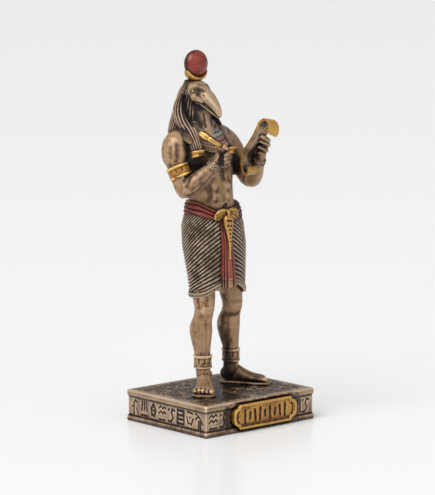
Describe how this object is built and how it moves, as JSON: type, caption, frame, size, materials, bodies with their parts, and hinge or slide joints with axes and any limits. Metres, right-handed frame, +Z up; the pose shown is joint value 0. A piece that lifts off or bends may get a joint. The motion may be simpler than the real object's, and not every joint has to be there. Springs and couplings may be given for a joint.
{
  "type": "ibis headed scribe god figure",
  "caption": "Small cast figure of an ibis-headed man with a moon disc, who writes on an unrolled scroll, standing on a rectangular plinth with a gold nameplate.",
  "frame": {"origin": "centre of the plinth's underside", "axes": "+Z up; the figure and the nameplate face -Y; +X is the figure's left, the side of the scroll"},
  "size_m": [0.034, 0.0288, 0.0865],
  "materials": {
    "cast_bronze": "cold-cast resin filled with bronze powder, rubbed tan highlights over a dark brown wash",
    "hair_bronze": "cold-cast resin, grey-brown bronze with black wash between the strands",
    "kilt_bronze": "cold-cast resin, grey-tan bronze with black wash between the pleats",
    "red_paint": "brick red paint over the casting, dark in the folds",
    "gold_paint": "antique gold paint with brown wash",
    "blue_paint": "pale grey-blue paint with dark wash",
    "plinth_bronze": "cold-cast resin, tan bronze with dark brown wash in the carving and on the top",
    "plate_gold": "antique gold paint, dark brown in the strokes"
  },
  "bodies": {
    "root": {"figure": "cast_bronze", "plinth": "plinth_bronze", "nameplate": "plate_gold"}
  },
  "joints": []
}
